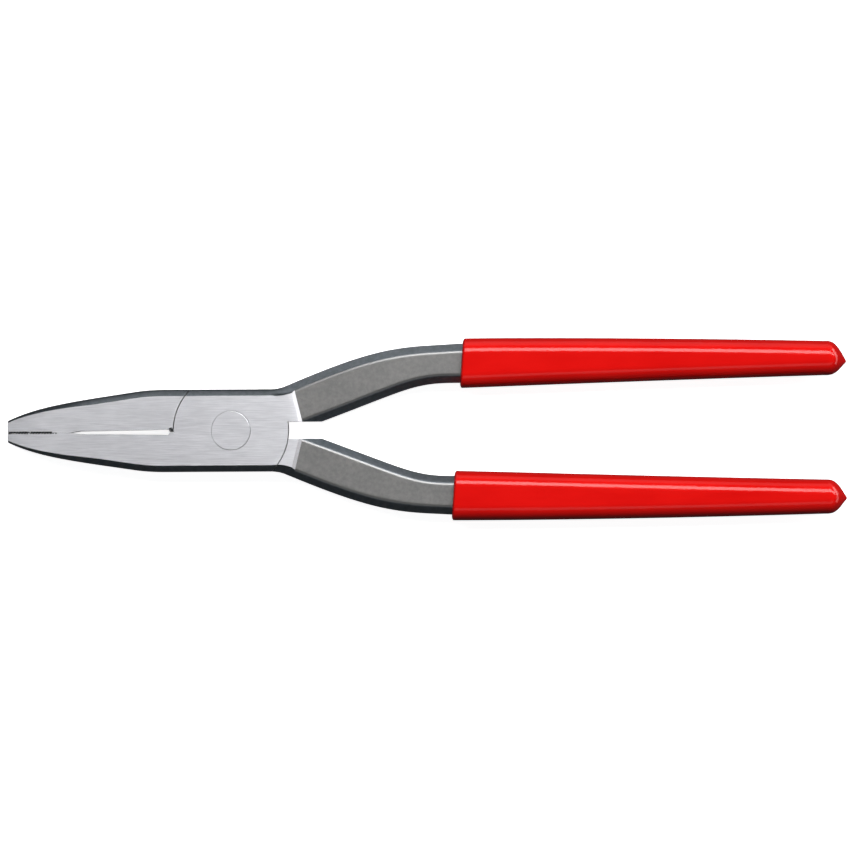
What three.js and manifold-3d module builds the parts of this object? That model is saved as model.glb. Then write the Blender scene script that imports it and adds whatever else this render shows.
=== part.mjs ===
// Long flat-nose pliers with a lap joint, a flush rivet and dipped handles.
// Millimetres, +X towards the handles, +Y across the tool, +Z up off the table.
// The origin is on the rivet's axis, in the plane that the closed tool lies on.

import * as THREE from 'three';
import { mergeVertices } from 'three/addons/utils/BufferGeometryUtils.js';
import Module from 'manifold-3d';

const wasm = await Module();
wasm.setup();

// Driving dimensions
const jointThickness = 12;
const handleThickness = 8.6;
const coatThickness = 1.7;
const coatClearance = 0.2;

const tipX = -74.4;
const tipHalfWidth = 3.67;
const shoulderX = -29;
const jawTaper = 6.71;
const jawSwell = 3.14;
const jawSwellPower = 4.82;
const jointHalfWidth = 13.75;
const jointEndX = 13;
const handleRootX = 16;
const handleStartX = 18;
const handleStartY = 14.7;
const bowEndX = 76;
const bowOuterY = 28.5;
const bowInnerY = 15.55;
const forkX = 31;
const forkY = 3.15;
const forkSlope = 0.37;
const mouthX = 75.9;
const mouthSlope = 0.061;
const tangStartX = 88;
const tangEndX = 197;
const noseStartX = 198;
const noseLength = 7.6;
const nosePower = 3;
const noseFullness = 1.45;
const dripOffset = 0.55;

// The grip's middle line rises a little towards its end, and the grip narrows.
const gripMiddleY = 22.1;
const gripMiddleRise = 1.05;
const gripMouthHalfWidth = 8.3;
const gripTaper = 2.55;
const gripTaperPower = 1.2;

// The lap plate of each half turns inside the wall of the other half.
const plateRadius = 19.1;
const wallRadius = 19.3;
const lapGap = 0.1;
const slotHalfWidth = 3.1;

// The seam between the closed jaws: grooved at the tip, relieved towards the joint.
const seamGap = 0.1;
const grooveCount = 14;
const groovePitch = 1.05;
const grooveDepth = 0.35;
const grooveHalfWidth = 0.3;
const reliefStartX = -51;
const reliefDepth = 0.95;
const crotchFillet = 1.3;

const rivetHeadRadius = 6.5;
const rivetShankRadius = 4.2;
const rivetHeadDepth = 0.6;
const rivetClearance = 0.06;
const rivetSegments = 64;

// Side faces are rounded between the middle plane and the flat faces.
const jointFlankRadius = 9;
const tipFlankShare = 0.35;
const fullFlankX = -45;
const handleEdge = { inset: 2.4, drop: 3.2 };
const coatEdge = { inset: 5, drop: 5.2 };

// The ramp where the thick joint steps down to the thinner handle.
const rampX = 20.9;
const rampY = 12;
const rampTilt = 0.24;
const rampWidth = 1.3;

const farAway = 100;

// Long edges, all given as a distance from the tool's middle line

const neckCurve = new THREE.QuadraticBezierCurve(
  new THREE.Vector2(jointEndX, jointHalfWidth),
  new THREE.Vector2(15.8, jointHalfWidth),
  new THREE.Vector2(handleStartX, handleStartY),
);

const outerBow = new THREE.CubicBezierCurve(
  new THREE.Vector2(handleStartX, handleStartY),
  new THREE.Vector2(49.2, 27.9),
  new THREE.Vector2(55.8, 27.7),
  new THREE.Vector2(bowEndX, bowOuterY),
);

const innerBow = new THREE.CubicBezierCurve(
  new THREE.Vector2(forkX, forkY),
  new THREE.Vector2(59.5, 13.7),
  new THREE.Vector2(61, 15.65),
  new THREE.Vector2(bowEndX, bowInnerY),
);

function heightAt(curve, x) {
  let low = 0;
  let high = 1;
  for (let step = 0; step < 40; step += 1) {
    const middle = (low + high) / 2;
    if (curve.getPoint(middle).x < x) low = middle;
    else high = middle;
  }
  return curve.getPoint(low).y;
}

function jawEdge(x) {
  const along = (x - tipX) / (shoulderX - tipX);
  return tipHalfWidth + jawTaper * along + jawSwell * (1 - (1 - along) ** jawSwellPower);
}

function jointEdge(x) {
  if (x < shoulderX) return jawEdge(x);
  if (x < jointEndX) return jointHalfWidth;
  return x < handleStartX ? heightAt(neckCurve, x) : heightAt(outerBow, x);
}

// The dipped part of a handle is almost straight and narrows towards its end.
function gripMiddle(x) {
  const along = (x - mouthX) / (noseStartX - mouthX);
  return gripMiddleY + gripMiddleRise * (1 - (1 - along) ** 2);
}

function gripHalfWidth(x) {
  const along = Math.max(0, (x - mouthX) / (noseStartX - mouthX));
  return gripMouthHalfWidth - gripTaper * along ** gripTaperPower;
}

function handleLimits(x) {
  if (x <= bowEndX) {
    const innerEdge = x < forkX ? forkY + forkSlope * (x - forkX) : heightAt(innerBow, x);
    return { low: innerEdge, high: jointEdge(x) };
  }
  const metal = gripHalfWidth(x) - coatThickness;
  return { low: gripMiddle(x) - metal, high: gripMiddle(x) + metal };
}

// Solids

function toSolid(geometry) {
  const bare = geometry.clone();
  bare.deleteAttribute('normal');
  bare.deleteAttribute('uv');
  const welded = mergeVertices(bare, 1e-5);
  const vertProperties = new Float32Array(welded.attributes.position.array);
  const triVerts = new Uint32Array(welded.index.array);
  return new wasm.Manifold(new wasm.Mesh({ numProp: 3, vertProperties, triVerts }));
}

function toGeometry(solid) {
  const result = solid.getMesh();
  const geometry = new THREE.BufferGeometry();
  geometry.setAttribute('position', new THREE.BufferAttribute(result.vertProperties, 3));
  geometry.setIndex(new THREE.BufferAttribute(result.triVerts, 1));
  geometry.computeVertexNormals();
  return geometry;
}

// A bar along X. Each station holds x, its lower and upper Y limits and one corner of its
// section, as [inset, z] pairs from the middle plane to the flat face.
function sweptBar(stations) {
  const cornerCount = stations[0].corner.length;
  const profile = [new THREE.Vector2(0, 0)];
  for (let i = 0; i < stations.length; i += 1) profile.push(new THREE.Vector2(1, i));
  profile.push(new THREE.Vector2(0, stations.length - 1));
  const geometry = new THREE.LatheGeometry(profile, 4 * cornerCount);
  const position = geometry.attributes.position;
  const ringSize = profile.length;
  for (let side = 0; side <= 4 * cornerCount; side += 1) {
    for (let row = 0; row < ringSize; row += 1) {
      const index = Math.min(Math.max(row - 1, 0), stations.length - 1);
      const station = stations[index];
      const onAxis = row === 0 || row === ringSize - 1;
      const point = sectionPoint(station, side % (4 * cornerCount), onAxis);
      position.setXYZ(side * ringSize + row, station.x, point.y, point.z);
    }
  }
  return toSolid(geometry);
}

function sectionPoint(station, side, onAxis) {
  if (onAxis) return { y: (station.low + station.high) / 2, z: 0 };
  const cornerCount = station.corner.length;
  const quarter = Math.floor(side / cornerCount);
  const step = side % cornerCount;
  const fromMiddle = quarter % 2 === 0 ? step : cornerCount - 1 - step;
  const [inset, z] = station.corner[fromMiddle];
  const isHigh = quarter === 0 || quarter === 3;
  return { y: isHigh ? station.high - inset : station.low + inset, z: quarter < 2 ? z : -z };
}

function roundCorner(halfThickness, inset, drop, steps) {
  const corner = [];
  for (let i = 0; i < steps; i += 1) {
    const angle = (Math.PI / 2) * (i / (steps - 1));
    const z = halfThickness - drop + drop * Math.sin(angle);
    corner.push([inset * (1 - Math.cos(angle)), Math.max(z, 0.001)]);
  }
  return corner;
}

function range(from, to, count) {
  return Array.from({ length: count }, (_, i) => from + ((to - from) * i) / (count - 1));
}

function prism(shape, bottom, top) {
  const geometry = new THREE.ExtrudeGeometry(shape, {
    depth: top - bottom,
    bevelEnabled: false,
    curveSegments: 8,
  });
  return toSolid(geometry.translate(0, 0, bottom));
}

function disc(radius, bottom, top) {
  const geometry = new THREE.CylinderGeometry(radius, radius, top - bottom, 96);
  return toSolid(geometry.rotateX(Math.PI / 2).translate(0, 0, (bottom + top) / 2));
}

function turned(profile) {
  const points = profile.map(([radius, height]) => new THREE.Vector2(radius, height));
  return toSolid(new THREE.LatheGeometry(points, rivetSegments).rotateX(Math.PI / 2));
}

// The forging: both halves are this one shape, and the second is turned over

function jointBlank() {
  const face = jointThickness / 2;
  const xs = [
    ...range(tipX, shoulderX, 11),
    shoulderX + 1,
    jointEndX,
    ...range(jointEndX + 1.7, handleStartX, 3),
    ...range(handleStartX + 2, 28, 4),
  ];
  const stations = xs.map((x) => {
    const share = Math.min(1, tipFlankShare + ((1 - tipFlankShare) * (x - tipX)) / (fullFlankX - tipX));
    const corner = [0.6, 3.4, face].map((z) => {
      const inset = jointFlankRadius - Math.sqrt(jointFlankRadius ** 2 - z ** 2);
      return [inset * share, z];
    });
    return { x, low: -jointEdge(x), high: jointEdge(x), corner };
  });
  return sweptBar(stations).subtract(rampCutter());
}

function rampCutter() {
  const face = jointThickness / 2;
  const handleFace = handleThickness / 2;
  const slope = rampWidth / (face - handleFace);
  const above = 2;
  const shape = new THREE.Shape();
  shape.moveTo(-rampWidth / 2 - slope * above, face + above);
  shape.lineTo(rampWidth / 2, handleFace);
  shape.lineTo(rampWidth / 2, -handleFace);
  shape.lineTo(-rampWidth / 2 - slope * above, -face - above);
  shape.lineTo(farAway, -face - above);
  shape.lineTo(farAway, face + above);
  const geometry = new THREE.ExtrudeGeometry(shape, { depth: farAway, bevelEnabled: false });
  geometry.translate(0, 0, -farAway / 2);
  geometry.rotateX(Math.PI / 2);
  geometry.rotateZ(rampTilt);
  geometry.translate(rampX, rampY, 0);
  return toSolid(geometry);
}

function handleBar() {
  const corner = roundCorner(handleThickness / 2, handleEdge.inset, handleEdge.drop, 4);
  const xs = [...range(handleRootX, bowEndX, 16), ...range(tangStartX, tangEndX, 6)];
  return sweptBar(xs.map((x) => ({ x, ...handleLimits(x), corner })));
}

// The space of the other half's jaw, with the grooves of this half's gripping face
function upperJawSpace() {
  const shape = new THREE.Shape();
  shape.moveTo(0, farAway);
  shape.lineTo(-farAway, farAway);
  shape.lineTo(-farAway, -seamGap);
  for (let i = 0; i < grooveCount; i += 1) {
    const middle = tipX + groovePitch * (i + 0.6);
    shape.lineTo(middle - grooveHalfWidth, -seamGap);
    shape.lineTo(middle, -seamGap - grooveDepth);
    shape.lineTo(middle + grooveHalfWidth, -seamGap);
  }
  shape.lineTo(reliefStartX, -seamGap);
  shape.lineTo(-plateRadius, -reliefDepth);
  shape.lineTo(0, -reliefDepth);
  return prism(shape, -farAway, farAway).subtract(crotchFilletPiece());
}

function crotchFilletPiece() {
  const left = -plateRadius - crotchFillet;
  const shape = new THREE.Shape();
  shape.moveTo(left, -reliefDepth - 1);
  shape.lineTo(left, -reliefDepth);
  shape.absarc(left, crotchFillet - reliefDepth, crotchFillet, -Math.PI / 2, 0, false);
  shape.lineTo(-plateRadius + 1, crotchFillet - reliefDepth);
  shape.lineTo(-plateRadius + 1, -reliefDepth - 1);
  return prism(shape, lapGap / 2, farAway + 1);
}

function lowerHandleSpace() {
  const shape = new THREE.Shape();
  shape.moveTo(0, slotHalfWidth);
  shape.lineTo(0, -farAway);
  shape.lineTo(tangEndX + farAway, -farAway);
  shape.lineTo(tangEndX + farAway, slotHalfWidth);
  return prism(shape, -farAway, farAway);
}

function rivetHole() {
  const face = jointThickness / 2;
  const head = rivetHeadRadius + rivetClearance;
  const shank = rivetShankRadius + rivetClearance;
  const neck = face - rivetHeadDepth;
  const cone = rivetHeadRadius - rivetShankRadius;
  return turned([
    [0, -face - 1],
    [head, -face - 1],
    [head, -neck],
    [shank, cone - neck],
    [shank, neck - cone],
    [head, neck],
    [head, face + 1],
    [0, face + 1],
  ]);
}

function forgedHalf() {
  const otherHalf = upperJawSpace()
    .add(lowerHandleSpace())
    .subtract(disc(plateRadius, -farAway - 1, farAway + 1));
  const pocket = disc(wallRadius, -farAway, lapGap / 2);
  return jointBlank()
    .add(handleBar())
    .subtract(otherHalf)
    .subtract(pocket)
    .subtract(rivetHole());
}

function rivetSolid() {
  const face = jointThickness / 2;
  const neck = face - rivetHeadDepth;
  const cone = rivetHeadRadius - rivetShankRadius;
  return turned([
    [0, -face],
    [rivetHeadRadius, -face],
    [rivetHeadRadius, -neck],
    [rivetShankRadius, cone - neck],
    [rivetShankRadius, neck - cone],
    [rivetHeadRadius, neck],
    [rivetHeadRadius, face],
    [0, face],
  ]);
}

// A dipped grip. Its nose is bullet shaped, with the drip of the dipping at its end.
function gripSolid(tilt) {
  const face = jointThickness / 2;
  const straight = range(mouthX - 6, noseStartX, 9);
  const nose = [0.26, 0.5, 0.68, 0.82, 0.92, 0.99].map((share) => noseStartX + share * noseLength);
  const outside = [...straight, ...nose].map((x) => {
    const pastStart = Math.max(0, (x - noseStartX) / noseLength);
    const share = (1 - pastStart ** nosePower) ** noseFullness;
    const halfWidth = gripHalfWidth(Math.min(x, noseStartX)) * share;
    const halfThickness = face * share;
    const middle = gripMiddle(Math.min(x, noseStartX)) - dripOffset * pastStart ** nosePower;
    const inset = Math.min(coatEdge.inset, halfWidth * 0.98);
    const drop = Math.min(coatEdge.drop, halfThickness * 0.98);
    const corner = roundCorner(halfThickness, inset, drop, 5);
    return { x, low: middle - halfWidth, high: middle + halfWidth, corner };
  });
  const halfCavity = handleThickness / 2 + coatClearance;
  const cavityCorner = roundCorner(halfCavity, handleEdge.inset, handleEdge.drop, 4);
  const cavityXs = [...range(bowEndX - 16, bowEndX, 3), ...range(tangStartX, tangEndX, 6)];
  const cavity = cavityXs.map((x) => {
    const limits = handleLimits(x);
    return {
      x: x === tangEndX ? x + coatClearance : x,
      low: limits.low - coatClearance,
      high: limits.high + coatClearance,
      corner: cavityCorner,
    };
  });
  const mouth = new THREE.Shape();
  mouth.moveTo(mouthX - farAway * tilt, -farAway);
  mouth.lineTo(mouthX + farAway * tilt, farAway);
  mouth.lineTo(-farAway, farAway);
  mouth.lineTo(-farAway, -farAway);
  return sweptBar(outside)
    .subtract(sweptBar(cavity))
    .subtract(prism(mouth, -farAway, farAway));
}

// Scene graph

const forgedSteel = { color: 0xa9a9b0, roughness: 0.38, metalness: 0.9 };
const rivetSteel = { color: 0xb4b4ba, roughness: 0.35, metalness: 0.9 };
const dippedVinyl = { color: 0xe0141c, roughness: 0.3, metalness: 0 };

const pliers = new THREE.Group();

function addPart(name, solid, finish, turnedOver) {
  const mesh = new THREE.Mesh(toGeometry(solid), new THREE.MeshStandardMaterial(finish));
  mesh.name = name;
  mesh.position.z = jointThickness / 2;
  mesh.rotation.x = turnedOver ? Math.PI : 0;
  pliers.add(mesh);
}

addPart('front_half', forgedHalf(), forgedSteel, false);
addPart('back_half', forgedHalf(), forgedSteel, true);
addPart('rivet', rivetSolid(), rivetSteel, false);
addPart('upper_grip', gripSolid(mouthSlope), dippedVinyl, false);
addPart('lower_grip', gripSolid(-mouthSlope), dippedVinyl, true);

export default pliers;
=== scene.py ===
# Long flat-nose pliers: the refined forgings, rivet and dipped grips, their materials, and the studio.
# Shapes are worked out in millimetres in the frame of the CAD model, with z measured from the
# middle plane, and become metres when a piece is placed.

import math

import bmesh
import bpy
import numpy as np
from mathutils import Matrix, Vector


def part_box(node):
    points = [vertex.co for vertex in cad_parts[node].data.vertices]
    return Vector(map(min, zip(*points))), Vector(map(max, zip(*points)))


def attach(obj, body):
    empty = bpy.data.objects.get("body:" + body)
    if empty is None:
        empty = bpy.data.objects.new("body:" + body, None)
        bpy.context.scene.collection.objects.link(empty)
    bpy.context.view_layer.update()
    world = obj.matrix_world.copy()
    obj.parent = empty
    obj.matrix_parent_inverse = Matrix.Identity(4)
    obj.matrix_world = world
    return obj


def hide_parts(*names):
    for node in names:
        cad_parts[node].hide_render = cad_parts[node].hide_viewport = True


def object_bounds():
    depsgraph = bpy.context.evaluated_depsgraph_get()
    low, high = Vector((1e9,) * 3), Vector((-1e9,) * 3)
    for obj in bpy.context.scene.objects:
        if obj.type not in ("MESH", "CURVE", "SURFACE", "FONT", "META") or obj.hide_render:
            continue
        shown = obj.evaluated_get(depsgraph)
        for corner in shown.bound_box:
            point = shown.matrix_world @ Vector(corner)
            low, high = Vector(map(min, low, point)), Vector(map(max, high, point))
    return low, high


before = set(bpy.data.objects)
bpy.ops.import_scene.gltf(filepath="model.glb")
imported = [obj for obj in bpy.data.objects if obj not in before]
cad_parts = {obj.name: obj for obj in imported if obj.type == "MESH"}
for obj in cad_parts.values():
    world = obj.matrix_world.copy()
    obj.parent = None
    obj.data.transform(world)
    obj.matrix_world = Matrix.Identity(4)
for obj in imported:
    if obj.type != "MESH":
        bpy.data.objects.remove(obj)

cad_low, cad_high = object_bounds()

MM = 0.001

# ---------------------------------------------------------------- sizes, from the frame

half_low, half_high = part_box("front_half")
rivet_low, rivet_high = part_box("rivet")
grip_low, grip_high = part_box("upper_grip")

TIP_X = half_low.x / MM
TANG_END_X = half_high.x / MM
JOINT_FACE = (rivet_high.z - rivet_low.z) / MM / 2
MIDDLE_Z = (rivet_high.z + rivet_low.z) / MM / 2
RIVET_RADIUS = rivet_high.x / MM
GRIP_FACE = (grip_high.z - grip_low.z) / MM / 2
GRIP_END_X = grip_high.x / MM

# ---------------------------------------------------------------- sizes of the forging

# The jaws' outline, from the tip to the joint's straight sides.
TIP_HALF_WIDTH = 3.67
JAW_TAPER = 6.71
JAW_SWELL = 3.14
JAW_SWELL_POWER = 4.82
SHOULDER_X = -29.0
SHOULDER_START_X = -33.0
SHOULDER_CORNER_X = -28.0
SHOULDER_END_X = -22.0
JOINT_HALF_WIDTH = 13.74
JOINT_END_X = 13.0

# The neck and the bowed handle, whose inner edge starts as a straight line at the fork.
NECK_HALF_WIDTH = 13.75
NECK_CORNER_X = 15.8
BLANK_END_X = 28.0
HANDLE_ROOT_X = 15.5
HANDLE_START_X = 18.0
HANDLE_START_Y = 14.7
HANDLE_FACE = 4.3
BOW_END_X = 76.0
BOW_OUTER_Y = 28.5
BOW_INNER_Y = 15.55
FORK_X = 31.0
FORK_Y = 3.15
FORK_SLOPE = 0.37
TANG_BLEND = (68.0, 84.0)
ROOT_SINK = 0.03
ROOT_SINK_END_X = 19.5

# Sections: the joint's flank is a wide bevel, and the handle's a bevel and a quick turn.
SECTION_START_Z = 0.15
EDGE_WIDTH = 2.15
EDGE_DROP = 2.6
EDGE_POWER = 1.25
TIP_EDGE_SHARE = 0.35
FULL_EDGE_X = -45.0
NECK_BLEND = (13.5, 20.0)
NECK_CORNER = [
    (0.0, SECTION_START_Z), (0.0, 1.0), (0.0, 1.8),
    (0.65, 2.45), (1.3, 3.1), (1.95, 3.75),
    (2.9, 4.4), (3.1, 5.2), (3.3, JOINT_FACE),
]
BEVEL_START = (0.0, 1.8)
BEVEL_END = (1.95, 3.75)
TURN_CORNER_INSET = 2.5
TURN_END_INSET = 3.45

# The lap joint and its rivet.
LAP_RADIUS = 19.2
LAP_CLEARANCE = 0.15
LAP_GAP = 0.06
SLOT_HALF_WIDTH = 2.85
RIVET_SHANK_RADIUS = 4.2
RIVET_HEAD_DEPTH = 0.6
RIVET_CLEARANCE = 0.07
RIVET_OFFSET = -0.06
RIVET_BEVEL = 0.18
HALF_BEVEL = 0.1

# The ramp from the joint's face down to the handle's, with a faint slope leading to it.
RAMP_X = 20.9
RAMP_Y = 12.0
RAMP_TILT = 0.24
RAMP_WIDTH = 1.15
RAMP_LEAD = 1.6
RAMP_LEAD_DROP = 0.1
RAMP_OVERCUT = 0.02

# The seam between the jaws: grooves and rebates near the tip, then a slot cut back from it.
SEAM_GAP = 0.015
SEAM_DROP = 0.4
GROOVES = 15
GROOVE_PITCH = 0.95
GROOVE_START = 0.7
GROOVE_DEPTH = 0.42
GROOVE_HALF = 0.36
GROOVE_FLAT_HALF = 0.08
GROOVE_LEAN = 0.36
RELIEF = [(-53.5, SEAM_GAP), (-50.4, 0.42), (-LAP_RADIUS, 0.85)]
RELIEF_DEPTH = RELIEF[-1][1]
REBATES = [(TIP_X - 1.0, -67.6), (-66.7, -59.6)]
REBATE_HALF = 0.4
REBATE_DEPTH = 1.2
CROTCH_BLOCK = 1.7
CROTCH_TOP = -0.1
CROTCH_ROUND = 0.3
NOTCH_X = -19.95
NOTCH_Y = -0.65
NOTCH_RADIUS = 0.8

# How far a cutter reaches past what it cuts, and a length past everything.
MARGIN = 1.0
FAR = 100.0

# ---------------------------------------------------------------- sizes of the grips

COAT = 1.7
COAT_FILM = 0.04
GRIP_MIDDLE_Y = 22.1
GRIP_MIDDLE_RISE = 1.05
GRIP_MOUTH_HALF_WIDTH = 8.3
GRIP_TAPER = 2.55
GRIP_TAPER_POWER = 1.2
GRIP_INSET = 5.2
GRIP_DROP = 5.1
GRIP_STEP = 1.5
MOUTH_X = 75.4
MOUTH_SLOPE = 0.068
MOUTH_LEAN_LENGTH = 26.0
LIP_RADIUS = 0.8
NOSE_START_X = 198.0
NOSE_POWER = 3
NOSE_FULLNESS = 1.45
NOSE_ROUNDING = 1.6
UPPER_DRIP = -1.2
LOWER_DRIP = 0.55

# ---------------------------------------------------------------- outlines


def bezier(points, count=400):
    """Points along a quadratic or cubic Bezier curve, as an array of x and y."""
    order = len(points) - 1
    t = np.linspace(0, 1, count)[:, None]
    return sum(
        math.comb(order, i) * (1 - t) ** (order - i) * t**i * np.array(p, float)
        for i, p in enumerate(points)
    )


def jaw_edge(x):
    along = (x - TIP_X) / (SHOULDER_X - TIP_X)
    return TIP_HALF_WIDTH + JAW_TAPER * along + JAW_SWELL * (1 - (1 - along) ** JAW_SWELL_POWER)


shoulder_curve = bezier([
    (SHOULDER_START_X, jaw_edge(SHOULDER_START_X)),
    (SHOULDER_CORNER_X, JOINT_HALF_WIDTH),
    (SHOULDER_END_X, JOINT_HALF_WIDTH),
])
neck_curve = bezier([
    (JOINT_END_X, NECK_HALF_WIDTH),
    (NECK_CORNER_X, NECK_HALF_WIDTH),
    (HANDLE_START_X, HANDLE_START_Y),
])
outer_bow = bezier([
    (HANDLE_START_X, HANDLE_START_Y),
    (49.2, 27.9),
    (55.8, 27.7),
    (BOW_END_X, BOW_OUTER_Y),
])
inner_bow = bezier([
    (FORK_X, FORK_Y),
    (59.5, 13.7),
    (61.0, 15.65),
    (BOW_END_X, BOW_INNER_Y),
])


def height_at(curve, x):
    return float(np.interp(x, curve[:, 0], curve[:, 1]))


def joint_edge(x):
    """Half width of the tool's outline at x, from the jaws' tip to the end of the bow."""
    if x < SHOULDER_START_X:
        return jaw_edge(x)
    if x < JOINT_END_X:
        return height_at(shoulder_curve, x)
    return height_at(neck_curve if x < HANDLE_START_X else outer_bow, x)


def grip_middle(x):
    along = (x - MOUTH_X) / (NOSE_START_X - MOUTH_X)
    return GRIP_MIDDLE_Y + GRIP_MIDDLE_RISE * (1 - (1 - along) ** 2)


def grip_half_width(x):
    along = max(0.0, (x - MOUTH_X) / (NOSE_START_X - MOUTH_X))
    return GRIP_MOUTH_HALF_WIDTH - GRIP_TAPER * along**GRIP_TAPER_POWER


def eased(share):
    """A share from 0 to 1, with a smooth start and end."""
    return share * share * (3 - 2 * share)


def handle_limits(x):
    """The inner and outer edge of the upper handle's metal at x."""
    inner = FORK_Y + FORK_SLOPE * (x - FORK_X) if x < FORK_X else height_at(inner_bow, x)
    outer = joint_edge(x)
    start, end = TANG_BLEND
    if x <= start:
        return inner, outer
    share = eased(min(1.0, (x - start) / (end - start)))
    metal = grip_half_width(x) - COAT
    tang = (grip_middle(x) - metal, grip_middle(x) + metal)
    return tuple(a * (1 - share) + b * share for a, b in zip((inner, outer), tang))


# ---------------------------------------------------------------- mesh tools


def mesh_object(name, rings):
    """A closed loft through rings of points, each ring with the same number of points."""
    mesh = bpy.data.meshes.new(name)
    bm = bmesh.new()
    rows = [[bm.verts.new(p) for p in ring] for ring in rings]
    count = len(rows[0])
    for a, b in zip(rows, rows[1:]):
        for i in range(count):
            j = (i + 1) % count
            bm.faces.new((a[i], a[j], b[j], b[i]))
    bm.faces.new(list(reversed(rows[0])))
    bm.faces.new(rows[-1])
    bmesh.ops.recalc_face_normals(bm, faces=bm.faces)
    bm.to_mesh(mesh)
    bm.free()
    obj = bpy.data.objects.new(name, mesh)
    bpy.context.scene.collection.objects.link(obj)
    return obj


def prism(name, outline, bottom, top):
    low = [(x, y, bottom) for x, y in outline]
    high = [(x, y, top) for x, y in outline]
    return mesh_object(name, [low, high])


def circle(radius, count, centre):
    angles = [2 * math.pi * i / count for i in range(count)]
    return [(centre[0] + radius * math.cos(a), centre[1] + radius * math.sin(a)) for a in angles]


def disc(name, radius, bottom, top, count=256, centre=(0.0, 0.0)):
    return prism(name, circle(radius, count, centre), bottom, top)


def turned(name, profile, count=192, centre=(0.0, 0.0)):
    """A solid of revolution about Z from (radius, z) pairs, closed by flat ends."""
    rings = [[(x, y, z) for x, y in circle(radius, count, centre)] for radius, z in profile]
    return mesh_object(name, rings)


def boolean(target, operation, cutter):
    """target with cutter joined to it or cut from it; the cutter is used up."""
    modifier = target.modifiers.new("boolean", "BOOLEAN")
    modifier.operation = operation
    modifier.solver = "MANIFOLD"
    modifier.object = cutter
    depsgraph = bpy.context.evaluated_depsgraph_get()
    result = bpy.data.meshes.new_from_object(target.evaluated_get(depsgraph))
    target.modifiers.remove(modifier)
    old = target.data
    target.data = result
    bpy.data.meshes.remove(old)
    spent = cutter.data
    bpy.data.objects.remove(cutter)
    bpy.data.meshes.remove(spent)
    return target


def spaced(*stretches):
    """x stations from (start, end, step) stretches."""
    xs = []
    for start, end, step in stretches:
        count = max(2, round((end - start) / step) + 1)
        xs.extend(np.linspace(start, end, count)[(1 if xs else 0):])
    return [float(x) for x in xs]


# ---------------------------------------------------------------- the forging


def section_ring(x, low, high, corner):
    """One section of a bar along X; corner holds (inset, z) pairs from the middle plane up."""
    up, down = corner, corner[::-1]
    ring = [(x, high - inset, z) for inset, z in up]
    ring += [(x, low + inset, z) for inset, z in down]
    ring += [(x, low + inset, -z) for inset, z in up]
    ring += [(x, high - inset, -z) for inset, z in down]
    return ring


def joint_corner():
    """A thick side with a wide, barely curved bevel up to the crisp edge of the ground face."""
    start = JOINT_FACE - EDGE_DROP
    corner = [(0.0, SECTION_START_Z), (0.0, start / 2), (0.0, start)]
    for t in np.linspace(0, 1, 7)[1:]:
        corner.append((EDGE_WIDTH * t**EDGE_POWER, start + EDGE_DROP * t))
    return np.array(corner)


def handle_corner(stretch, film=0.0):
    """The handle's side: a 45 degree bevel, then a quick turn onto the face."""
    bevel = np.linspace(BEVEL_START, BEVEL_END, 16)
    turn = bezier([BEVEL_END, (TURN_CORNER_INSET, HANDLE_FACE), (TURN_END_INSET, HANDLE_FACE)], 17)
    corner = np.concatenate([[(0.0, SECTION_START_Z)], bevel, turn[1:]])
    corner[:, 0] *= stretch
    corner[1:, 1] += film
    return corner


def joint_blank():
    """Both jaws, the joint and the neck as one thick bar, before anything is cut from it."""
    step = 0.8
    neck_start, neck_end = NECK_BLEND
    rings = []
    for x in spaced((TIP_X, SHOULDER_END_X, step), (SHOULDER_END_X, JOINT_END_X, 5),
                    (JOINT_END_X, BLANK_END_X, step)):
        corner = joint_corner()
        along = (x - TIP_X) / (FULL_EDGE_X - TIP_X)
        corner[:, 0] *= min(1.0, TIP_EDGE_SHARE + (1 - TIP_EDGE_SHARE) * along)
        share = min(1.0, max(0.0, (x - neck_start) / (neck_end - neck_start)))
        corner = corner * (1 - share) + np.array(NECK_CORNER) * share
        rings.append(section_ring(x, -joint_edge(x), joint_edge(x), corner))
    return mesh_object("blank", rings)


def handle_bar():
    """The upper handle and its tang, a hair narrower where it starts inside the neck."""
    ahead = 0.5
    rings = []
    for x in spaced((HANDLE_ROOT_X, TANG_BLEND[1], 1.0), (TANG_BLEND[1], TANG_END_X, 6)):
        low, high = handle_limits(x)
        slope = (handle_limits(x + ahead)[0] - low) / ahead
        sunk = ROOT_SINK if x < ROOT_SINK_END_X else 0.0
        corner = handle_corner(math.sqrt(1 + slope**2))
        rings.append(section_ring(x, low + sunk, high - sunk, corner))
    return mesh_object("bar", rings)


def ramp_cutter():
    """Takes the thick joint away beyond the slanted ramp down to the handle's face."""
    above = 2.0
    lead_start = -RAMP_WIDTH / 2 - RAMP_LEAD
    far_start = lead_start - above * RAMP_LEAD / RAMP_LEAD_DROP
    upper = [
        (far_start, JOINT_FACE + above),
        (lead_start, JOINT_FACE),
        (-RAMP_WIDTH / 2, JOINT_FACE - RAMP_LEAD_DROP),
        (RAMP_WIDTH / 2, HANDLE_FACE - RAMP_OVERCUT),
    ]
    outline = upper + [(n, -z) for n, z in reversed(upper)]
    outline += [(FAR, -JOINT_FACE - above), (FAR, JOINT_FACE + above)]
    turn = Matrix.Translation((RAMP_X, RAMP_Y, 0)) @ Matrix.Rotation(RAMP_TILT, 4, "Z")
    rings = [[turn @ Vector((n, y, z)) for n, z in outline] for y in (-FAR, FAR)]
    return mesh_object("ramp", rings)


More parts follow.
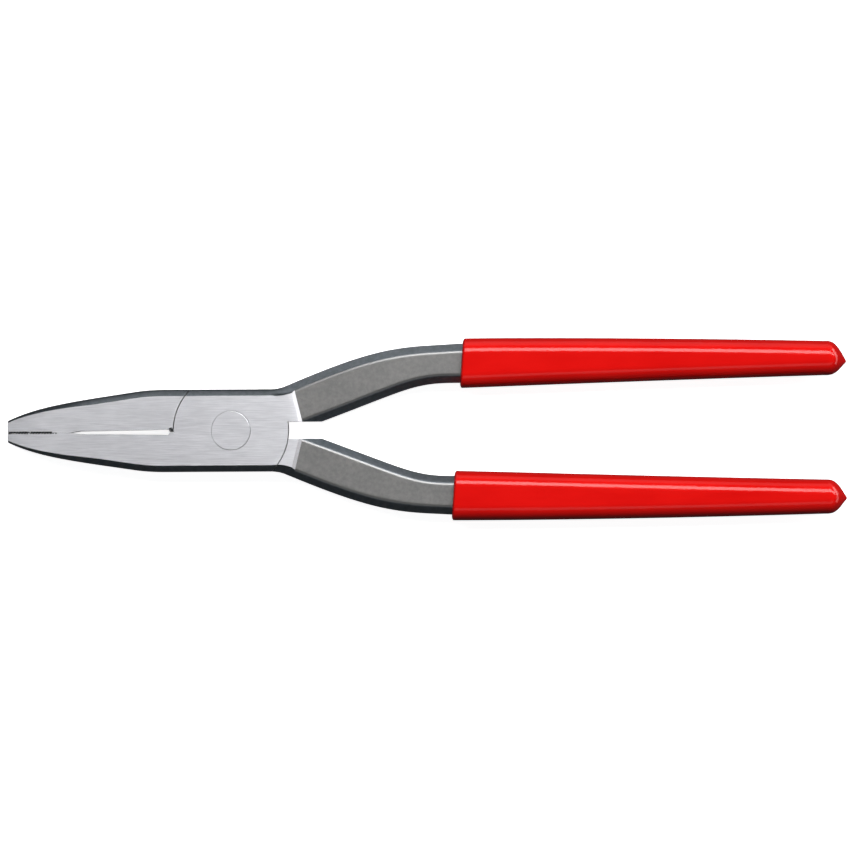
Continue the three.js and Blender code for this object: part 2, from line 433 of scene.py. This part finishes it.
def groove_cutter(middle):
    """One leaning groove across the gripping face at x = middle."""
    bottom = -SEAM_GAP - GROOVE_DEPTH
    outline = [
        (middle - GROOVE_HALF, MARGIN),
        (middle - GROOVE_HALF, -SEAM_GAP),
        (middle - GROOVE_FLAT_HALF, bottom),
        (middle + GROOVE_FLAT_HALF, bottom),
        (middle + GROOVE_HALF, -SEAM_GAP),
        (middle + GROOVE_HALF, MARGIN),
    ]
    cutter = prism("groove", outline, -JOINT_FACE - MARGIN, JOINT_FACE + MARGIN)
    for vertex in cutter.data.vertices:
        vertex.co.x += GROOVE_LEAN * vertex.co.z
    return cutter


def rebate_cutter(start, end, bottom):
    """A shallow step along the gripping face's edge, on the flat face above or below it."""
    outline = [(start, -REBATE_HALF), (end, -REBATE_HALF), (end, MARGIN), (start, MARGIN)]
    return prism("rebate", outline, bottom, bottom + REBATE_DEPTH + MARGIN)


def crotch_block():
    """The square inner corner between this half's jaw and its joint plate."""
    left, right = -LAP_RADIUS - CROTCH_BLOCK, -LAP_RADIUS + MARGIN
    low = -RELIEF_DEPTH - MARGIN
    outline = [(left, low)]
    for angle in np.linspace(math.pi, math.pi / 2, 5):
        outline.append((
            left + CROTCH_ROUND + CROTCH_ROUND * math.cos(angle),
            CROTCH_TOP - CROTCH_ROUND + CROTCH_ROUND * math.sin(angle),
        ))
    outline += [(right, CROTCH_TOP), (right, low)]
    return prism("block", outline, LAP_GAP / 2, FAR + MARGIN)


def upper_jaw_space(seam):
    """The other half's jaw, with what is cut in this half's gripping face, at y = seam."""
    outline = [(0, FAR), (-FAR, FAR), (-FAR, -SEAM_GAP)]
    outline += [(x, -depth) for x, depth in RELIEF] + [(0, -RELIEF_DEPTH)]
    space = prism("jaw_space", outline, -FAR, FAR)
    for i in range(GROOVES):
        middle = TIP_X + GROOVE_PITCH * (i + GROOVE_START)
        space = boolean(space, "UNION", groove_cutter(middle))
    for start, end in REBATES:
        for bottom in (-JOINT_FACE - MARGIN, JOINT_FACE - REBATE_DEPTH):
            space = boolean(space, "UNION", rebate_cutter(start, end, bottom))
    notch = disc("notch", NOTCH_RADIUS, -FAR, 0, 32, (NOTCH_X, NOTCH_Y))
    space = boolean(boolean(space, "DIFFERENCE", crotch_block()), "UNION", notch)
    space.data.transform(Matrix.Translation((0, seam, 0)))
    return space


def lower_handle_space():
    outline = [(0, SLOT_HALF_WIDTH), (0, -FAR), (3 * FAR, -FAR), (3 * FAR, SLOT_HALF_WIDTH)]
    return prism("handle_space", outline, -FAR, FAR)


def rivet_profile(extra, beyond):
    """The rivet's (radius, z) pairs, wider by extra and longer by beyond at each end."""
    head, shank = RIVET_RADIUS + extra, RIVET_SHANK_RADIUS + extra
    neck = JOINT_FACE - RIVET_HEAD_DEPTH
    cone = RIVET_RADIUS - RIVET_SHANK_RADIUS
    upper = [(shank, neck - cone), (head, neck), (head, JOINT_FACE + beyond)]
    return [(radius, -z) for radius, z in reversed(upper)] + upper


def forged_half(name, seam):
    """Lower jaw, front lap plate and upper handle."""
    plate = disc("plate", LAP_RADIUS - LAP_CLEARANCE, -FAR - MARGIN, FAR + MARGIN)
    space = boolean(upper_jaw_space(seam), "UNION", lower_handle_space())
    space = boolean(space, "DIFFERENCE", plate)
    half = boolean(joint_blank(), "DIFFERENCE", ramp_cutter())
    half = boolean(half, "UNION", handle_bar())
    half = boolean(half, "DIFFERENCE", space)
    half = boolean(half, "DIFFERENCE", disc("pocket", LAP_RADIUS + LAP_CLEARANCE, -FAR, LAP_GAP / 2))
    half = boolean(half, "DIFFERENCE", turned("hole", rivet_profile(RIVET_CLEARANCE, MARGIN)))
    half.name = name
    half.data.name = name
    return half


def rivet_piece():
    """The rivet sits a hair off the hole's centre, as a set rivet does."""
    return turned("rivet_flush", rivet_profile(0.0, 0.0), centre=(RIVET_OFFSET, 0.0))


def settle(obj, bevel_width):
    """Cleans a cut solid, joins its flat faces and rounds its sharp machined edges."""
    sliver, speck = 0.02, 0.001
    level = 0.99999
    corner_angle = math.radians(50)
    bm = bmesh.new()
    bm.from_mesh(obj.data)
    bmesh.ops.dissolve_degenerate(bm, dist=sliver, edges=bm.edges)
    flat = [e for e in bm.edges if len(e.link_faces) == 2
            and all(abs(f.normal.z) > level for f in e.link_faces)]
    bmesh.ops.dissolve_limit(bm, angle_limit=0.002, edges=flat, verts=[])
    bm.normal_update()
    corners = [e for e in bm.edges if len(e.link_faces) == 2
               and e.calc_face_angle_signed(0) > corner_angle]
    bmesh.ops.bevel(bm, geom=corners, offset=bevel_width, segments=2, profile=0.5,
                    affect="EDGES", clamp_overlap=True)
    bmesh.ops.dissolve_degenerate(bm, dist=speck, edges=bm.edges)
    bmesh.ops.recalc_face_normals(bm, faces=bm.faces)
    bm.to_mesh(obj.data)
    bm.free()
    return obj


def place(obj, turned_over, angle_limit=33):
    """Turns a piece over if asked, brings it to the frame's place and metres, and smooths it."""
    matrix = Matrix.Translation((0, 0, MIDDLE_Z))
    if turned_over:
        matrix = matrix @ Matrix.Rotation(math.pi, 4, "X")
    obj.data.transform(Matrix.Scale(MM, 4) @ matrix)
    obj.data.shade_smooth()
    obj.data.set_sharp_from_angle(angle=math.radians(angle_limit))
    modifier = obj.modifiers.new("normals", "WEIGHTED_NORMAL")
    modifier.keep_sharp = True
    return obj


# ---------------------------------------------------------------- grips


def grip_corner(half_width, face, inset, drop):
    """A quarter of the coat's section: side, rounded corner and part of the flat face."""
    largest = 0.98
    inset, drop = min(inset, half_width * largest), min(drop, face * largest)
    corner = [(0.0, (face - drop) * 0.4 + 0.01)]
    for angle in np.linspace(0, math.pi / 2, 30):
        corner.append((inset * (1 - math.cos(angle)), face - drop + drop * math.sin(angle)))
    rest = half_width - inset
    for share in (0.45, 0.85):
        corner.append((inset + rest * share, face))
    return corner


def grip_ring(x, middle, half, corner, slope=0.0):
    """A section of the grip about y = middle, leaning with the mouth where slope isn't zero."""
    ring = section_ring(x, middle - half, middle + half, corner)
    return [(px + slope * py, py, pz) for px, py, pz in ring]


def mouth_lean(x, tilt):
    """How much a section at x leans: fully at the mouth, and not at all further in."""
    past_mouth = max(0.0, x - MOUTH_X)
    return tilt * eased(max(0.0, 1 - past_mouth / MOUTH_LEAN_LENGTH))


def inside_rings(tilt):
    """The film on the tang, from its end out to the mouth."""
    rings = []
    for x in spaced((TANG_END_X + 0.3, MOUTH_X, -4.0)):
        low, high = handle_limits(min(x, TANG_END_X))
        middle, half = (low + high) / 2, (high - low) / 2 + COAT_FILM
        rings.append(grip_ring(x, middle, half, handle_corner(1.0, COAT_FILM), mouth_lean(x, tilt)))
    return rings


def lip_rings(tilt):
    """The lip, rolled over from the film to the coat's full thickness."""
    rings = []
    for angle in np.linspace(0, math.pi / 2, 9)[1:]:
        x = MOUTH_X + LIP_RADIUS * (1 - math.cos(angle))
        inset = (COAT - COAT_FILM) * (1 - math.sin(angle))
        half = grip_half_width(x) - inset
        tighter = inset * 0.9
        corner = grip_corner(half, GRIP_FACE - inset, GRIP_INSET - tighter, GRIP_DROP - tighter)
        rings.append(grip_ring(x, grip_middle(x), half, corner, mouth_lean(x, tilt)))
    return rings


def straight_rings(tilt):
    rings = []
    for x in spaced((MOUTH_X + LIP_RADIUS + 1.0, NOSE_START_X, GRIP_STEP)):
        half = grip_half_width(x)
        corner = grip_corner(half, GRIP_FACE, GRIP_INSET, GRIP_DROP)
        rings.append(grip_ring(x, grip_middle(x), half, corner, mouth_lean(x, tilt)))
    return rings


def nose_ring(past, drip):
    """A section of the bullet nose; past runs from 0 at its start to 1 at its tip."""
    length = GRIP_END_X - NOSE_START_X
    left = max(length * (1 - past), 0.02)
    share = (1 - past**NOSE_POWER) ** NOSE_FULLNESS
    rounding = NOSE_ROUNDING * left * past**2
    half, face = (
        math.sqrt((full * share) ** 2 + rounding)
        for full in (grip_half_width(NOSE_START_X), GRIP_FACE)
    )
    corner = grip_corner(half, min(face, GRIP_FACE), GRIP_INSET, GRIP_DROP)
    middle = grip_middle(NOSE_START_X) + drip * past**NOSE_POWER
    return grip_ring(NOSE_START_X + past * length, middle, half, corner)


def grip_piece(name, tilt, drip):
    """A dipped coat. tilt leans its mouth, and drip is how far its tip lies from the middle."""
    rings = inside_rings(tilt) + lip_rings(tilt) + straight_rings(tilt)
    for step in np.linspace(0, 1, 34)[1:]:
        rings.append(nose_ring(1 - (1 - step) ** 1.8, drip))
    return mesh_object(name, rings)


# ---------------------------------------------------------------- materials


class Nodes:
    """A small builder for one material's node tree."""

    def __init__(self, name):
        self.material = bpy.data.materials.new(name)
        self.material.use_nodes = True
        self.tree = self.material.node_tree
        self.shader = self.tree.nodes["Principled BSDF"]
        coordinates = self.tree.nodes.new("ShaderNodeTexCoord")
        self.place = coordinates.outputs["Object"]
        self.normal = coordinates.outputs["Normal"]

    def connect(self, value, socket):
        """Links an output to a socket, or sets the socket to a plain value."""
        if isinstance(value, bpy.types.NodeSocket):
            self.tree.links.new(value, socket)
        else:
            socket.default_value = value

    def node(self, kind, inputs=(), **settings):
        made = self.tree.nodes.new(kind)
        for key, value in settings.items():
            setattr(made, key, value)
        for key, value in dict(inputs).items():
            self.connect(value, made.inputs[key])
        return made

    def noise(self, stretch, scale, detail=3.0, roughness=0.55, offset=(0.0, 0.0, 0.0)):
        """Noise over the piece; stretch says how much finer it is along each axis."""
        mapping = self.node("ShaderNodeMapping", {
            "Vector": self.place, "Scale": stretch, "Location": offset})
        made = self.node("ShaderNodeTexNoise", {
            "Vector": mapping.outputs["Vector"], "Scale": scale, "Detail": detail, "Roughness": roughness})
        return made.outputs["Fac"]

    def remap(self, value, low, high, to_low=0.0, to_high=1.0):
        made = self.node("ShaderNodeMapRange", {
            "Value": value, "From Min": low, "From Max": high, "To Min": to_low, "To Max": to_high},
            interpolation_type="SMOOTHSTEP")
        return made.outputs["Result"]

    def mix(self, share, first, second):
        """A colour between first and second; the two colour inputs are sockets 6 and 7."""
        made = self.node("ShaderNodeMix", {"Factor": share}, data_type="RGBA")
        for index, color in ((6, first), (7, second)):
            plain = isinstance(color, tuple)
            self.connect((*color, 1.0) if plain else color, made.inputs[index])
        return made.outputs[2]

    def arithmetic(self, operation, first, second=0.0):
        return self.node("ShaderNodeMath", {0: first, 1: second}, operation=operation).outputs[0]

    def blend(self, first, second, share):
        """A weighted sum of two noises, with share of the first."""
        return self.arithmetic(
            "ADD",
            self.arithmetic("MULTIPLY", first, share),
            self.arithmetic("MULTIPLY", second, 1 - share),
        )

    def bump(self, height, distance, strength, after=None):
        inputs = {"Height": height, "Distance": distance, "Strength": strength}
        if after is not None:
            inputs["Normal"] = after
        return self.node("ShaderNodeBump", inputs).outputs["Normal"]

    def upright(self):
        """How far a surface faces up or down: 1 on a flat face, 0 on the side."""
        parts = self.node("ShaderNodeSeparateXYZ", {0: self.normal})
        return self.arithmetic("ABSOLUTE", parts.outputs["Z"])

    def feed(self, **sockets):
        names = {"color": "Base Color", "roughness": "Roughness", "metallic": "Metallic",
                 "normal": "Normal", "ior": "IOR", "specular": "Specular IOR Level"}
        for key, value in sockets.items():
            plain_color = key == "color" and isinstance(value, tuple)
            self.connect((*value, 1.0) if plain_color else value, self.shader.inputs[names[key]])
        return self.material


def ground_steel(name, offset):
    """Faces ground and brushed along the tool."""
    n = Nodes(name)
    streaks = n.noise((150, 2600, 2600), 1.0, 4.0, 0.65, offset)
    fine = n.noise((200, 9000, 9000), 1.0, 2.0, 0.5, offset)
    cloud = n.noise((1, 1, 1), 45.0, 3.0, 0.5, offset)
    tone = n.remap(n.blend(streaks, cloud, 0.6), 0.28, 0.72)
    color = n.mix(tone, (0.64, 0.64, 0.67), (0.84, 0.84, 0.87))
    roughness = n.remap(streaks, 0.3, 0.7, 0.42, 0.50)
    normal = n.bump(streaks, 0.00001, 0.4, n.bump(fine, 0.000006, 0.5))
    return n.feed(color=color, roughness=roughness, metallic=1.0, normal=normal)


def forged_steel(name):
    """Forged sides and blasted handle faces: matte grey on top, smooth round the edge, and on the sides a
    blue-grey that is partly forging scale and partly painted shade.
    """
    n = Nodes(name)
    up = n.upright()
    blast = n.noise((1, 1, 1), 2600.0, 3.0, 0.6)
    mottle = n.noise((1, 1, 1), 700.0, 4.0, 0.65)
    cloud = n.noise((1, 1, 1), 120.0, 3.0, 0.5)
    tone = n.remap(n.blend(mottle, cloud, 0.7), 0.3, 0.7)
    face = n.mix(tone, (0.19, 0.19, 0.188), (0.245, 0.241, 0.235))
    edge = (0.165, 0.165, 0.165)
    # The sides' colour: partly forging scale, partly painted shade standing in for the darker flanks.
    scale = n.mix(tone, (0.16, 0.18, 0.195), (0.22, 0.24, 0.26))
    on_face = n.remap(up, 0.985, 0.999)
    # Painted shade in part: the sides take the scale colour by their tilt from the face alone.
    color = n.mix(n.remap(up, 0.89, 0.945), scale, n.mix(on_face, edge, face))
    roughness = n.mix(on_face, (0.34, 0.34, 0.34), (0.6, 0.6, 0.6))
    normal = n.bump(mottle, 0.00004, 0.3, n.bump(blast, 0.00001, 0.5))
    return n.feed(color=color, roughness=roughness, metallic=1.0, normal=normal)


def machined_steel(name):
    """Milled seams, lap faces and the grooved grip faces."""
    n = Nodes(name)
    lines = n.noise((300, 300, 5000), 1.0, 3.0, 0.6)
    color = n.mix(n.remap(lines, 0.3, 0.7), (0.36, 0.36, 0.37), (0.50, 0.50, 0.51))
    roughness = n.remap(lines, 0.3, 0.7, 0.36, 0.5)
    normal = n.bump(lines, 0.00001, 0.5)
    return n.feed(color=color, roughness=roughness, metallic=1.0, normal=normal)


def dipped_vinyl(name, offset):
    """Glossy red dip coat, cloudy in tone, with painted shade: a deeper red on its sides."""
    n = Nodes(name)
    cloud = n.noise((1, 3, 3), 40.0, 3.0, 0.5, offset)
    tone = n.remap(cloud, 0.3, 0.7)
    face = n.mix(tone, (0.72, 0.0045, 0.0035), (0.79, 0.006, 0.0045))
    # Painted shade: a darker red that the sides take by their tilt from the face.
    painted_side_shade = n.mix(tone, (0.50, 0.0045, 0.0035), (0.55, 0.006, 0.0045))
    color = n.mix(n.remap(n.upright(), 0.55, 0.97), painted_side_shade, face)
    roughness = n.remap(cloud, 0.3, 0.7, 0.11, 0.14)
    return n.feed(color=color, roughness=roughness, metallic=0.0, ior=1.33)


# ---------------------------------------------------------------- pieces

FINISHES = ("ground", "machined", "forged")


def face_finish(center, normal):
    """The finish of a face of a forging, by where it is and which way it looks."""
    radius = math.hypot(center.x, center.y)
    level = abs(normal.z) > 0.999
    upright = abs(normal.z) < 0.05
    radial = abs(center.x * normal.x + center.y * normal.y) / max(radius, 1.0)
    on_arc = abs(radius - LAP_RADIUS) < 0.3 and radial > 0.95
    on_seam = abs(center.y) < 1.8 and center.x < -LAP_RADIUS + 1
    on_slot = abs(center.y - SLOT_HALF_WIDTH) < 0.15 and center.x > LAP_RADIUS - 1
    in_hole = radius < RIVET_RADIUS + 0.2
    on_lap = level and abs(center.z) < 0.1
    on_tip = upright and center.x < TIP_X + 0.1
    past_joint = LAP_RADIUS - 3 < center.x < 25 and abs(center.z) > HANDLE_FACE
    on_ramp = past_joint and normal.x > 0.02 and abs(normal.y) < 0.4 * normal.x
    if (level and abs(center.z) > JOINT_FACE - 0.05) or on_ramp:
        return "ground"
    if on_lap or on_arc or in_hole or on_tip or (upright and (on_seam or on_slot)):
        return "machined"
    return "forged"


def finish_half(obj, materials):
    """Gives each face of a forging its finish; materials are in the order of FINISHES."""
    obj.data.materials.clear()
    for material in materials:
        obj.data.materials.append(material)
    for face in obj.data.polygons:
        face.material_index = FINISHES.index(face_finish(face.center, face.normal))


def make_pieces():
    half_materials = [
        ground_steel("ground_steel", (0, 0, 0)),
        machined_steel("machined_steel"),
        forged_steel("forged_steel"),
    ]
    made = []
    for name, body, node, over in (("front_forging", "front", "front_half", False),
                                   ("back_forging", "back", "back_half", True)):
        obj = settle(forged_half(name, SEAM_DROP if over else -SEAM_DROP), HALF_BEVEL)
        finish_half(obj, half_materials)
        made.append((place(obj, over), body, node, "forged_steel"))
    rivet = settle(rivet_piece(), RIVET_BEVEL)
    rivet.data.materials.append(ground_steel("rivet_steel", (0.4, 0.1, 0)))
    made.append((place(rivet, False), "back", "rivet", "rivet_steel"))
    for name, body, node, over in (("upper_coat", "front", "upper_grip", False),
                                   ("lower_coat", "back", "lower_grip", True)):
        tilt, drip = (-MOUTH_SLOPE, LOWER_DRIP) if over else (MOUTH_SLOPE, UPPER_DRIP)
        obj = grip_piece(name, tilt, drip)
        obj.data.materials.append(dipped_vinyl(name + "_vinyl", (0.7 if over else 0.0, 0, 0)))
        made.append((place(obj, over, 50), body, node, "dipped_vinyl"))
    for obj, body, node, slot in made:
        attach(obj, body)
        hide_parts(node)


# ---------------------------------------------------------------- camera and studio, in metres

LENS = 200.0
SENSOR = 36.0
VIEW_WIDTH = 0.2844
VIEW_CENTRE = (0.0653, 0.0008)
CAMERA_ROLL = -0.33
CAMERA_TILT = 0.4

FLOOR_REACH = 6.0
FLOOR_GAP = 0.0002
FLOOR_GLOW = 0.93

TOOL_CENTRE = (0.065, 0.0, 0.0)
KEY_CENTRE = (0.69, 0.0, 0.0)

# Each softbox: name, what it looks at, turn, lean, distance, size, radiance, and what it lights.
SOFTBOXES = [
    ("low_side", TOOL_CENTRE, -66, 82, 1.4, (0.9, 0.4), 7.4, "all"),
    ("key", KEY_CENTRE, 0, 30, 0.7, (1.5, 0.26), 9.8, "glossy"),
    ("low_back", TOOL_CENTRE, 0, 80, 1.6, (3.0, 1.1), 0.8, "glossy"),
    ("front", TOOL_CENTRE, 180, 34, 1.3, (2.8, 0.4), 0.9, "glossy"),
    ("right_side", TOOL_CENTRE, -98, 84, 1.4, (0.8, 0.35), 3.0, "glossy"),
    ("wash", TOOL_CENTRE, 0, 30, 1.5, (2.5, 0.6), 7.0, "diffuse"),
]
WORLD_COLOR = (0.9, 0.95, 1.0, 1)
WORLD_STRENGTH = 0.07


def make_camera():
    """A long lens that looks almost straight down on the closed tool's upper face."""
    data = bpy.data.cameras.new("camera")
    data.lens, data.sensor_width = LENS, SENSOR
    camera = bpy.data.objects.new("camera", data)
    bpy.context.scene.collection.objects.link(camera)
    distance = VIEW_WIDTH * LENS / SENSOR
    roll = Matrix.Rotation(math.radians(CAMERA_ROLL), 4, "Z")
    tilt = Matrix.Rotation(math.radians(CAMERA_TILT), 4, "X")
    target = Vector((*VIEW_CENTRE, cad_high.z))
    camera.matrix_world = Matrix.Translation(target) @ roll @ tilt @ Matrix.Translation((0, 0, distance))
    bpy.context.scene.camera = camera


def softbox(name, target, turn, lean, distance, size, radiance, lights):
    """A softbox that looks at target from distance, leaning from straight above.

    turn goes round from the tool's far side (0) over its left (90) to its near side (180).
    """
    data = bpy.data.lights.new(name, "AREA")
    data.shape = "RECTANGLE"
    data.size, data.size_y = size
    data.energy = math.pi * size[0] * size[1] * radiance
    light = bpy.data.objects.new(name, data)
    spin = Matrix.Rotation(math.radians(turn), 4, "Z") @ Matrix.Rotation(math.radians(-lean), 4, "X")
    light.matrix_world = Matrix.Translation(target) @ spin @ Matrix.Translation((0, 0, distance))
    light.visible_camera = False
    light.visible_diffuse = lights in ("all", "diffuse")
    light.visible_glossy = lights in ("all", "glossy")
    bpy.context.scene.collection.objects.link(light)


def make_floor():
    """A white floor that lights itself, and shows neither in the steel nor in the vinyl."""
    reach = FLOOR_REACH
    corners = [(-reach, -reach, 0), (reach, -reach, 0), (reach, reach, 0), (-reach, reach, 0)]
    mesh = bpy.data.meshes.new("floor")
    mesh.from_pydata(corners, [], [(0, 1, 2, 3)])
    floor = bpy.data.objects.new("floor", mesh)
    floor.location.z = cad_low.z - FLOOR_GAP
    bpy.context.scene.collection.objects.link(floor)
    n = Nodes("floor_white")
    n.feed(color=(0.85, 0.85, 0.85), roughness=0.9, metallic=0.0, specular=0.0)
    n.shader.inputs["Emission Color"].default_value = (1, 1, 1, 1)
    n.shader.inputs["Emission Strength"].default_value = FLOOR_GLOW
    mesh.materials.append(n.material)
    floor.visible_glossy = False
    floor.visible_diffuse = False


def make_studio():
    make_floor()
    for settings in SOFTBOXES:
        softbox(*settings)
    world = bpy.data.worlds.new("studio")
    bpy.context.scene.world = world
    world.use_nodes = True
    background = world.node_tree.nodes["Background"]
    background.inputs["Color"].default_value = WORLD_COLOR
    background.inputs["Strength"].default_value = WORLD_STRENGTH
    view = bpy.context.scene.view_settings
    view.view_transform = "Standard"
    view.look = "None"


make_pieces()
make_camera()
make_studio()

bpy.context.view_layer.update()
